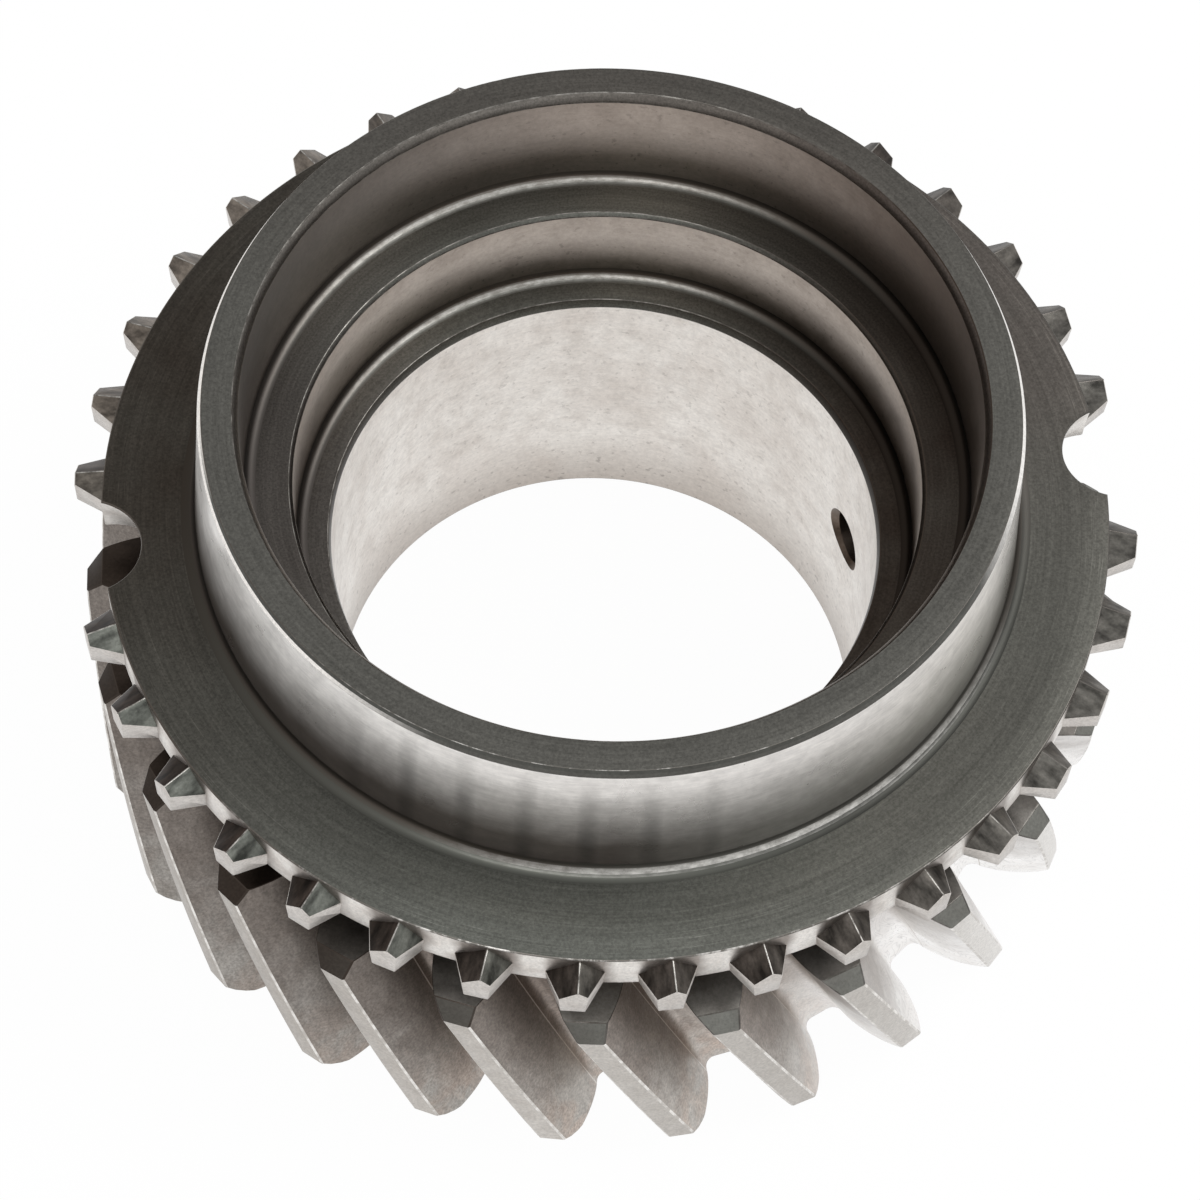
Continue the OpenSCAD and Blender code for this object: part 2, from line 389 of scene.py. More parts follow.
def helical_rim():
    """Toothed rim as a stack of outlines that turn with the helix, chamfered at both ends."""
    plain_from, plain_to = BOSS_H + BACK_ROUND[-1][0], RIM_TOP - TIP_CHAMFER
    plain = [plain_from + (plain_to - plain_from) * i / RIM_STEPS for i in range(RIM_STEPS + 1)]
    part = 0.3  # of an edge break, where its middle outline lies
    levels = [(BOSS_H, EDGE), (BOSS_H + part * EDGE, part * EDGE), (BOSS_H + EDGE, 0)]
    levels += [(BOSS_H + up, 0) for up, _ in BACK_ROUND[1:-1]]
    levels += [(z, 0) for z in plain]
    levels += [(RIM_TOP - CHAMFER_MIDDLE, 0), (RIM_TOP - THIN_EDGE, 0)]
    levels += [(RIM_TOP - part * THIN_EDGE, part * THIN_EDGE), (RIM_TOP, THIN_EDGE)]
    back_ups, back_ins = zip(*BACK_ROUND)
    rings = []
    for z, depth in levels:
        cap_r = TIP_R - max(np.interp(z - BOSS_H, back_ups, back_ins), z - RIM_TOP + TIP_CHAMFER, 0)
        ring, names = rim_outline(cap_r)
        if depth:
            ring = inset(ring, depth)
        turn = FIRST_TOOTH - TWIST * (z - BOSS_H)
        rings.append([(*rotated(x, y, turn), z) for x, y in ring])

    def finish(level, i):
        in_chamfer = levels[level][0] >= plain_to - 1e-6
        if levels[level][1] or levels[level + 1][1]:
            return "line" if in_chamfer else "edge"
        return {"land": "chamfer", "edge": "line"}.get(names[i], names[i]) if in_chamfer else names[i]

    return lofted("rim", rings, finish, "end_face")


def dog_tooth(place):
    """One pointed tooth, wider on one side of its ridge, with its edges broken."""
    mesh = bmesh.new()
    sections = []
    for x in (RING_R - OVERLAP, DOG_TIP_R):
        ridge_z = RING_TOP - DOG_RIDGE_DOWN - (x - RING_R) * DOG_FALL
        share = (x - RING_R) / (DOG_TIP_R - RING_R)
        wide = {side: root + (tip - root) * share for side, root, tip in DOG_HALVES}
        section = [
            (x, -wide[-1] + DOG_TAPER, RING_BOTTOM),
            (x, wide[1] - DOG_TAPER, RING_BOTTOM),
            (x, wide[1], ridge_z - wide[1] * DOG_ROOF),
            (x, 0, ridge_z),
            (x, -wide[-1], ridge_z - wide[-1] * DOG_ROOF),
        ]
        sections.append([mesh.verts.new(p) for p in section])
    inner, outer = sections
    finishes = ("groove", "dog_side", "short_roof", "long_roof", "dog_side")
    for i, finish in enumerate(finishes):
        t = (i + 1) % len(finishes)
        face = mesh.faces.new((inner[i], inner[t], outer[t], outer[i]))
        face.material_index = SLOT[finish]
    mesh.faces.new(outer).material_index = SLOT["dog_side"]
    mesh.faces.new(list(reversed(inner))).material_index = SLOT["groove"]
    mesh.normal_update()
    outside = [e for e in mesh.edges if not (e.verts[0] in inner and e.verts[1] in inner)]
    bmesh.ops.bevel(
        mesh, geom=outside, offset=DOG_EDGE, segments=2, profile=0.5,
        affect="EDGES", material=SLOT["ridge"], clamp_overlap=True,
    )
    mesh.normal_update()
    faces_up = 0.72
    for face in mesh.faces:
        if face.material_index == SLOT["ridge"] and face.normal.z < faces_up:
            face.material_index = SLOT["dog_side"]
    points = [(*rotated(v.co.x, v.co.y, place * DOG_PITCH), v.co.z) for v in mesh.verts]
    mesh.verts.index_update()
    faces = [tuple(v.index for v in f.verts) for f in mesh.faces]
    slots = [f.material_index for f in mesh.faces]
    mesh.free()
    return points, faces, slots


def dog_teeth():
    """All the dog teeth as one object of separate closed solids."""
    points, faces, slots = [], [], []
    for place in range(DOG_PLACES):
        if place in NOTCH_PLACES:
            continue
        more, sides, finishes = dog_tooth(place)
        faces += [tuple(i + len(points) for i in face) for face in sides]
        points += more
        slots += finishes
    return mesh_object("dogs", points, faces, slots)


def notch_cutter(place):
    """Round cutter that leans toward the gear axis as it goes down, with a broken upper edge."""
    around = 96
    brim = 0.15
    levels = (
        (RING_TOP + OVERLAP, brim), (RING_TOP, brim), (RING_TOP - brim / 3, 0.07),
        (RING_TOP - brim, 0), (RING_BOTTOM - OVERLAP, 0),
    )
    rings = []
    for z, wider in levels:
        centre = NOTCH_PITCH_R - (RING_TOP - z) * math.tan(NOTCH_LEAN)
        circle = [polar(NOTCH_R + wider, 2 * math.pi * i / around) for i in range(around)]
        ellipse = [(centre + x / math.cos(NOTCH_LEAN), y) for x, y in circle]
        rings.append([(*rotated(x, y, place * DOG_PITCH), z) for x, y in ellipse])

    def finish(level, i):
        return "strip" if level == len(levels) - 2 else "brim"

    return lofted("notch", rings, finish, "strip", flipped=True)


def oil_hole():
    """Radial cutter, countersunk in the main bore and broken a little where it leaves between two teeth."""
    around = 48
    outer_mouth = ROOT_R - 0.3
    levels = (
        (0, HOLE_R + HOLE_FLARE), (MAIN_R - 0.3, HOLE_R + HOLE_FLARE), (MAIN_R + 0.4, HOLE_R),
        (outer_mouth, HOLE_R), (ROOT_R + 0.2, HOLE_R + HOLE_BREAK), (TIP_R + OVERLAP, HOLE_R + HOLE_BREAK),
    )
    rings = []
    for out, radius in levels:
        circle = [polar(radius, 2 * math.pi * i / around) for i in range(around)]
        rings.append([(*rotated(out, y, HOLE_AZIMUTH), HOLE_Z + z) for y, z in circle])

    def finish(level, i):
        return "hole" if levels[level][0] < outer_mouth else "edge"

    return lofted("hole", rings, finish, "hole")


def gear():
    """The whole gear as one closed mesh."""
    upper = clutch_and_collar()
    combine(upper, dog_teeth(), "UNION")
    for place in NOTCH_PLACES:
        combine(upper, notch_cutter(place), "DIFFERENCE")
    body = core()
    combine(body, helical_rim(), "UNION")
    combine(body, upper, "UNION")
    combine(body, bores(), "DIFFERENCE")
    combine(body, oil_hole(), "DIFFERENCE")
    return body


def srgb(red, green, blue):
    """Linear colour from the 0 to 255 values of a display."""
    parts = []
    for c in (red, green, blue):
        c /= 255
        parts.append(c / 12.92 if c <= 0.04045 else ((c + 0.055) / 1.055) ** 2.4)
    return (*parts, 1.0)


def shade(colour, factor):
    return (*(min(1.0, factor * c) for c in colour[:3]), 1.0)


class Steel:
    """Node builder for one steel finish."""

    def __init__(self, name):
        self.material = bpy.data.materials.new("steel_" + name)
        self.material.use_nodes = True
        self.tree = self.material.node_tree
        self.shader = self.tree.nodes["Principled BSDF"]
        self.relief = None
        place = self.node("ShaderNodeTexCoord").outputs["Object"]
        scaled = self.node("ShaderNodeVectorMath", operation="SCALE")
        self.link(place, scaled.inputs[0])
        scaled.inputs["Scale"].default_value = 1 / MM
        self.place = scaled.outputs[0]
        split = self.node("ShaderNodeSeparateXYZ")
        self.link(self.place, split.inputs[0])
        self.x, self.y, self.z = split.outputs
        flat = self.join(self.x, self.y, 0)
        length = self.node("ShaderNodeVectorMath", operation="LENGTH")
        self.link(flat, length.inputs[0])
        self.radius = length.outputs["Value"]

    def node(self, kind, **settings):
        made = self.tree.nodes.new(kind)
        for key, value in settings.items():
            setattr(made, key, value)
        return made

    def link(self, source, target):
        self.tree.links.new(source, target)

    def feed(self, value, socket):
        if isinstance(value, bpy.types.NodeSocket):
            self.link(value, socket)
        else:
            socket.default_value = value

    def math(self, operation, a, b=0.0):
        made = self.node("ShaderNodeMath", operation=operation)
        self.feed(a, made.inputs[0])
        self.feed(b, made.inputs[1])
        return made.outputs[0]

    def product(self, first, *others):
        for other in others:
            first = self.math("MULTIPLY", first, other)
        return first

    def ragged(self, value, cloud, depth):
        """The value made uneven, over a range of depth, by the cloud."""
        return self.math("ADD", value, self.product(self.math("SUBTRACT", cloud, 0.5), depth))

    def flat(self, colour):
        """A colour as a socket."""
        made = self.node("ShaderNodeRGB")
        made.outputs[0].default_value = colour
        return made.outputs[0]

    def join(self, x, y, z):
        made = self.node("ShaderNodeCombineXYZ")
        for value, socket in zip((x, y, z), made.inputs):
            self.feed(value, socket)
        return made.outputs[0]

    def around(self, along, across, turn):
        """Coordinates for marks that run round the axis, with one scale across them and one round it."""
        return self.join(
            self.product(along, across),
            self.product(self.math("DIVIDE", self.x, self.radius), turn),
            self.product(self.math("DIVIDE", self.y, self.radius), turn),
        )

    def toward(self, azimuth, low, high):
        """0 to 1 as the cosine of the angle to that side of the gear goes from low to high."""
        x, y = rotated(1, 0, math.radians(azimuth))
        along = self.math("ADD", self.product(self.x, x), self.product(self.y, y))
        return self.spread(self.math("DIVIDE", along, self.radius), low, high)

    def untwisted(self):
        """Coordinates turned back by the helix, so that each tooth stands straight along Z."""
        turned = self.node("ShaderNodeVectorRotate", rotation_type="Z_AXIS")
        self.link(self.place, turned.inputs["Vector"])
        self.link(self.product(self.z, TWIST), turned.inputs["Angle"])
        return turned.outputs[0]

    def stretched(self, vector, x, y, z):
        made = self.node("ShaderNodeVectorMath", operation="MULTIPLY")
        self.link(vector, made.inputs[0])
        made.inputs[1].default_value = (x, y, z)
        return made.outputs[0]

    def noise(self, vector, scale, detail, rough=0.55, distortion=0.0):
        made = self.node("ShaderNodeTexNoise")
        self.link(vector, made.inputs["Vector"])
        made.inputs["Scale"].default_value = scale
        made.inputs["Detail"].default_value = detail
        made.inputs["Roughness"].default_value = rough
        made.inputs["Distortion"].default_value = distortion
        return made.outputs["Fac"]

    def spread(self, value, low, high, to_low=0.0, to_high=1.0):
        """The value's range low to high, mapped to another one and cut off at its ends."""
        made = self.node("ShaderNodeMapRange", clamp=True)
        self.link(value, made.inputs["Value"])
        limits = {"From Min": low, "From Max": high, "To Min": to_low, "To Max": to_high}
        for key, number in limits.items():
            made.inputs[key].default_value = number
        return made.outputs["Result"]

    def blend(self, share, a, b):
        made = self.node("ShaderNodeMix", data_type="RGBA")
        self.feed(share, made.inputs["Factor"])
        self.feed(a, made.inputs[6])
        self.feed(b, made.inputs[7])
        return made.outputs[2]

    def times(self, tone, factor):
        made = self.node("ShaderNodeVectorMath", operation="SCALE")
        self.link(tone, made.inputs[0])
        self.feed(factor, made.inputs["Scale"])
        return made.outputs[0]

    def toned(self, tone, texture, low, high, dark, light):
        """The tone times dark to light as the texture goes from low to high."""
        return self.times(tone, self.spread(texture, low, high, dark, light))

    def capped(self, tone):
        made = self.node("ShaderNodeVectorMath", operation="MINIMUM")
        self.link(tone, made.inputs[0])
        made.inputs[1].default_value = [BRIGHTEST] * 3
        return made.outputs[0]

    def painted_by_side(self, tone, painted_side_shading, strength=1.0):
        """Painted light and shade over the tone, one side of the gear at a time: each is (azimuth, low, high,
        colour), the first three as in toward.
        """
        for azimuth, low, high, painted_tone in painted_side_shading:
            tone = self.blend(self.product(self.toward(azimuth, low, high), strength), tone, painted_tone)
        return tone

    def places(self, count, offset=0.0):
        """1 at each of count places round the axis and -1 midway between them."""
        angle = self.math("ADD", self.math("ARCTAN2", self.y, self.x), math.radians(offset))
        return self.math("COSINE", self.product(angle, count))

    def bump(self, value, depth):
        """Adds relief of that depth in millimetres."""
        made = self.node("ShaderNodeBump")
        made.inputs["Strength"].default_value = 1.0
        made.inputs["Distance"].default_value = depth * MM
        self.link(value, made.inputs["Height"])
        if self.relief is not None:
            self.link(self.relief, made.inputs["Normal"])
        self.relief = made.outputs["Normal"]

    def finish(self, colour, roughness, metallic=1.0, anisotropic=0.0):
        self.feed(colour, self.shader.inputs["Base Color"])
        self.feed(roughness, self.shader.inputs["Roughness"])
        self.shader.inputs["Metallic"].default_value = metallic
        if anisotropic:
            self.shader.inputs["Anisotropic"].default_value = anisotropic
            tangent = self.node("ShaderNodeTangent", direction_type="RADIAL", axis="Z")
            self.link(tangent.outputs[0], self.shader.inputs["Tangent"])
        if self.relief is not None:
            self.link(self.relief, self.shader.inputs["Normal"])
        return self.material


def turned_steel(name, colour, painted_side_shading=(), scored=0.0):
    """Dull turned face with a fine grain and marks round the axis, patchy painted light and shade by side
    where given, and light scratches where it is scored.
    """
    s = Steel(name)
    fine = s.noise(s.around(s.radius, 6.0, 4.0), 1.0, 3.0)
    broad = s.noise(s.around(s.radius, 1.6, 1.5), 1.0, 3.0)
    grain = s.noise(s.place, 5.0, 3.0, 0.7)
    patch = s.noise(s.place, 0.12, 4.0)
    # painted light and shade by side, made patchy by the patch noise
    tone = s.painted_by_side(s.flat(colour), painted_side_shading, s.spread(patch, 0.3, 0.7, 0.85, 1.0))
    tone = s.toned(tone, fine, 0.3, 0.7, 0.88, 1.12)
    tone = s.toned(tone, broad, 0.4, 0.75, 0.96, 1.16)
    tone = s.toned(tone, grain, 0.35, 0.65, 0.74, 1.16)
    if scored:
        scratch = s.noise(s.around(s.radius, 11.0, 7.0), 1.0, 2.0)
        outer = s.spread(s.radius, SCORED_FROM, SCORED_TO, 0.25, 1.0)
        marks = s.product(outer, s.spread(scratch, 0.6, 0.7, 0.0, scored))
        tone = s.times(tone, s.math("ADD", marks, 1.0))
    s.bump(fine, 0.004)
    s.bump(grain, 0.004)
    return s.finish(tone, s.spread(patch, 0.3, 0.7, 0.31, 0.4), anisotropic=0.3)


def cone_steel(name, colour, foot, painted_side_shading, painted_foot_shading):
    """Ground cone, bright toward the top, with a dark ragged painted reflection at its foot, painted light
    and shade by side, and soft upright smudges.

    The painted reflection at the foot stands lower at the left and a little higher in front, and has painted
    side shading of its own.
    """
    s = Steel(name)
    cloud = s.noise(s.place, 0.2, 4.0, 0.6, 0.4)
    mottle = s.noise(s.place, 0.9, 5.0, 0.65, 0.3)
    wide = s.noise(s.around(s.z, 1.2, 9.0), 1.0, 3.0)
    fine = s.noise(s.around(s.z, 5.0, 14.0), 1.0, 4.0, 0.6)
    # edge of the painted dark reflection at the foot: ragged, lower at the left, higher in front
    height = s.ragged(s.z, cloud, 2.5)
    height = s.math("ADD", height, s.product(s.toward(188, 0.93, 1.0), 2.0))
    height = s.math("SUBTRACT", height, s.product(s.toward(255, 0.85, 0.98), 0.8))
    # bright: share of the bright upper cone over the painted dark foot
    bright = s.math("POWER", s.spread(height, RING_TOP + 2.9, RING_TOP + 11.2), 1.2)
    tone = s.blend(bright, s.painted_by_side(s.flat(foot), painted_foot_shading), s.painted_by_side(s.flat(colour), painted_side_shading))
    smudge = s.product(
        s.spread(s.places(SMUDGES, SMUDGE_OFFSET), 0.35, 1.0), s.toward(262, 0.85, 0.95),
        s.spread(cloud, 0.35, 0.6, 0.2, 0.42), s.spread(s.z, RING_TOP + 7.5, RING_TOP + 14, 1.0, 0.0))
    tone = s.times(tone, s.math("SUBTRACT", 1.0, smudge))
    tone = s.toned(tone, mottle, 0.35, 0.65, 0.88, 1.05)
    tone = s.toned(tone, wide, 0.35, 0.7, 0.93, 1.04)
    tone = s.toned(tone, fine, 0.3, 0.7, 0.9, 1.04)
    return s.finish(tone, s.spread(cloud, 0.3, 0.7, 0.26, 0.34), metallic=0.5)


def ground_steel(name, colour, stain, stains, roughness, foot, painted_side_shading=()):
    """Smooth face with soft cloudy stains, fine specks and painted shade that darkens it toward its foot.

    The foot is the painted shade: (colour, height up to which it is full, height at which it ends).
    """
    s = Steel(name)
    cloud = s.noise(s.stretched(s.place, 1, 1, 0.7), 0.14, 5.0, 0.6, 0.4)
    small = s.noise(s.place, 0.5, 6.0, 0.6)
    fine = s.noise(s.around(s.z, 6.0, 9.0), 1.0, 3.0)
    grain = s.noise(s.place, 2.2, 5.0, 0.75)
    specks = s.noise(s.place, 1.7, 2.0)
    painted_tone, full_to, ends_at = foot
    tone = s.blend(s.spread(cloud, 0.4, 0.66, 0.0, stains), colour, stain)
    tone = s.blend(s.spread(small, 0.45, 0.75, 0.0, stains * 0.8), tone, shade(stain, 0.8))
    tone = s.painted_by_side(tone, painted_side_shading)
    # depth: share of the painted shade toward the foot of the bore wall
    depth = s.spread(s.ragged(s.z, small, 5.0), full_to, ends_at, 1.0, 0.0)
    tone = s.blend(depth, tone, painted_tone)
    tone = s.toned(tone, fine, 0.35, 0.7, 1.0, 0.93)
    tone = s.toned(tone, grain, 0.36, 0.64, 0.88, 1.05)
    speck = s.product(s.spread(specks, 0.63, 0.7), s.math("ADD", s.product(depth, 0.45), 0.25))
    tone = s.blend(speck, tone, shade(stain, 0.35))
    s.bump(fine, 0.001)
    return s.finish(tone, s.spread(small, 0.3, 0.7, roughness - 0.03, roughness + 0.05))


def hobbed_steel(name, colour, stain):
    """Cut tooth surface: mottled, with painted shade that makes it browner toward its top under the clutch
    ring, rusty low down, and painted light that makes it bright and swirled at the right.
    """
    s = Steel(name)
    # bright: the colour of the painted light on the teeth at the right
    rust, bright = srgb(204, 187, 175), srgb(255, 253, 251)
    marks = s.noise(s.stretched(s.untwisted(), 1, 1, 0.35), 1.6, 4.0, 0.6)
    cloud = s.noise(s.place, 0.22, 5.0, 0.62, 0.5)
    grain = s.noise(s.place, 4.0, 3.0, 0.7)
    swirl = s.noise(s.stretched(s.untwisted(), 1, 1, 0.45), 0.35, 2.0, 0.5, 1.6)
    # high: share of the painted shade toward the top of the teeth, under the clutch ring
    high = s.spread(s.ragged(s.z, cloud, 7.0), BOSS_H + 3, BOSS_H + 17)
    tone = s.blend(s.spread(cloud, 0.42, 0.62, 0.0, 0.5), colour, stain)
    tone = s.blend(s.product(high, 0.8), tone, shade(stain, 0.72))
    rusty = s.product(
        s.spread(cloud, 0.42, 0.58), s.spread(s.z, BOSS_H + 1, BOSS_H + 9, 1.0, 0.0),
        s.toward(290, 0.2, 0.8), 0.6)
    tone = s.blend(rusty, tone, rust)
    # painted light and shade: lighter toward the front right, darker toward the back left
    tone = s.toned(tone, s.toward(330, 0.1, 0.6), 0.0, 1.0, 0.8, 1.12)
    tone = s.toned(tone, marks, 0.3, 0.7, 0.85, 1.12)
    tone = s.toned(tone, grain, 0.35, 0.65, 0.72, 1.12)
    # side: share of the painted light on the teeth at the right
    side = s.product(
        s.toward(-25, 0.76, 0.95), s.spread(cloud, 0.3, 0.7, 1.0, 0.8), s.spread(high, 0.3, 1.0, 1.0, 0.6))
    tone = s.blend(side, tone, bright)
    ripple = s.spread(s.math("PINGPONG", s.product(swirl, 9.0), 0.5), 0.3, 0.5)
    ripple = s.product(ripple, s.spread(marks, 0.4, 0.7, 0.14, 0.38))
    tone = s.times(tone, s.math("SUBTRACT", 1.0, s.product(side, ripple)))
    s.bump(marks, 0.006)
    s.bump(grain, 0.003)
    roughness = s.math("SUBTRACT", s.spread(cloud, 0.3, 0.7, 0.36, 0.52), s.product(side, 0.12))
    return s.finish(s.capped(tone), roughness)


def plain_steel(name, colour, stain, painted_side_shading=(), streaks=0.0, painted_corner_shade=0.0):
    """Milled face with a fine grain, painted light and shade by side where given, with radial streaks and
    with painted shade beside each dog tooth where asked.
    """
    s = Steel(name)
    grain = s.noise(s.place, 4.0, 4.0, 0.65)
    patch = s.noise(s.place, 0.5, 4.0)
    tone = s.blend(s.spread(patch, 0.42, 0.7, 0.0, 0.35), colour, stain)
    tone = s.painted_by_side(tone, painted_side_shading)
    # painted shade in the corners beside each dog tooth
    if painted_corner_shade:
        near = s.math("ADD", s.places(DOG_PLACES), s.product(patch, 0.8))
        tone = s.blend(s.spread(near, -0.5, 0.3, 0.0, painted_corner_shade), tone, shade(stain, 0.5))
    if streaks:
        scratch = s.noise(s.around(s.radius, 0.5, 60.0), 1.0, 3.0)
        tone = s.toned(tone, scratch, 0.3, 0.7, 1.0 - 0.6 * streaks, 1.0 + streaks)
        s.bump(scratch, 0.01)
    tone = s.toned(tone, grain, 0.35, 0.65, 0.84, 1.12)
    s.bump(grain, 0.004)
    return s.finish(s.capped(tone), s.spread(patch, 0.3, 0.7, 0.33, 0.46))


def edge_wear_and_highlight(name, bright, dull, low, high, painted_side_shading=()):
    """Broken edge that shines in dashes, as painted highlight and wear, with painted light and shade by side
    where given.
    """
    s = Steel(name)
    dashes = s.noise(s.place, 0.8, 5.0, 0.7)
    tone = s.blend(s.spread(dashes, low, high), dull, bright)
    return s.finish(s.painted_by_side(tone, painted_side_shading), 0.35)


def fillet_steel(name, wall, gleam, face, peak, side, painted_wall_shading, painted_face_shading):
    """Turned fillet between an upright wall and a face that looks up, with painted side shading and a painted
    highlight, the gleam, between the two.

    The painted gleam lies where the normal's upward part is peak, and on the side that toward takes from
    side.
    """
    s = Steel(name)
    facing = s.node("ShaderNodeSeparateXYZ")
    s.link(s.node("ShaderNodeNewGeometry").outputs["True Normal"], facing.inputs[0])
    up = facing.outputs[2]
    fine = s.noise(s.around(s.radius, 3.0, 30.0), 1.0, 5.0, 0.75)
    strength = s.product(s.math("POWER", s.toward(*side), 1.5), s.spread(fine, 0.38, 0.6, 0.35, 1.0))
    wall, face = s.painted_by_side(s.flat(wall), painted_wall_shading), s.painted_by_side(s.flat(face), painted_face_shading)
    dull = s.blend(s.spread(up, peak, peak + 0.17), wall, face)
    # rise: the painted highlight, bright where the normal's upward part is near peak
    rise = s.product(s.spread(up, peak - 0.25, peak), s.spread(up, peak, peak + 0.24, 1.0, 0.0))
    return s.finish(s.blend(s.product(rise, strength), dull, gleam), 0.38)


